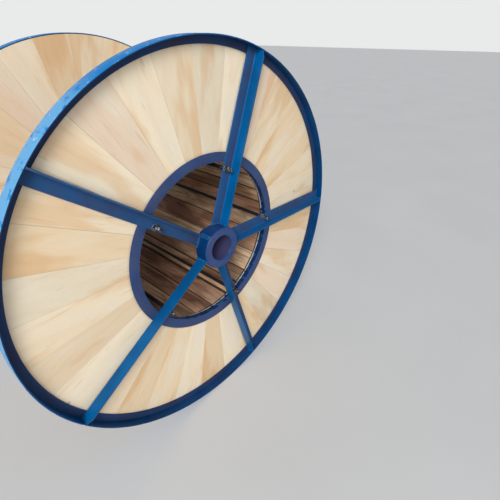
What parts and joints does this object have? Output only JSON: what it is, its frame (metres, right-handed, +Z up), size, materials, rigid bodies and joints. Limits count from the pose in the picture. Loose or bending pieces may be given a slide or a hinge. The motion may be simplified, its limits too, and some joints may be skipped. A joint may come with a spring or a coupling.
{
  "type": "cable drum",
  "caption": "Wooden cable drum with blue steel rims, angle spokes and hub sleeves, wedge-board flanges and a barrel of spaced staves, standing on its rims.",
  "frame": {"origin": "on the floor under the middle of the drum", "axes": "+Y along the drum's axis, from the flange the picture shows to the far one; +Z up"},
  "size_m": [1.5998, 1.06, 1.5999],
  "materials": {
    "blue_paint": "gloss",
    "flange_wood": "satin",
    "stave_wood": "matte",
    "rod_steel": "satin"
  },
  "bodies": {
    "root": {"back_barrel_ring": "blue_paint", "back_flange_boards_1": "flange_wood", "back_flange_boards_2": "flange_wood", "back_flange_boards_3": "flange_wood", "back_flange_boards_4": "flange_wood", "back_flange_boards_5": "flange_wood", "back_hub": "blue_paint", "back_rim": "blue_paint", "back_rod_nut_1": "rod_steel", "back_rod_nut_2": "rod_steel", "back_rod_nut_3": "rod_steel", "back_rod_nut_4": "rod_steel", "back_rod_nut_5": "rod_steel", "back_spoke_1": "blue_paint", "back_spoke_2": "blue_paint", "back_spoke_3": "blue_paint", "back_spoke_4": "blue_paint", "back_spoke_5": "blue_paint", "barrel_staves_1": "stave_wood", "barrel_staves_2": "stave_wood", "barrel_staves_3": "stave_wood", "barrel_staves_4": "stave_wood", "barrel_staves_5": "stave_wood", "front_barrel_ring": "blue_paint", "front_flange_boards_1": "flange_wood", "front_flange_boards_2": "flange_wood", "front_flange_boards_3": "flange_wood", "front_flange_boards_4": "flange_wood", "front_flange_boards_5": "flange_wood", "front_hub": "blue_paint", "front_rim": "blue_paint", "front_rod_nut_1": "rod_steel", "front_rod_nut_2": "rod_steel", "front_rod_nut_3": "rod_steel", "front_rod_nut_4": "rod_steel", "front_rod_nut_5": "rod_steel", "front_spoke_1": "blue_paint", "front_spoke_2": "blue_paint", "front_spoke_3": "blue_paint", "front_spoke_4": "blue_paint", "front_spoke_5": "blue_paint", "tie_rod_1": "rod_steel", "tie_rod_2": "rod_steel", "tie_rod_3": "rod_steel", "tie_rod_4": "rod_steel", "tie_rod_5": "rod_steel"}
  },
  "joints": []
}
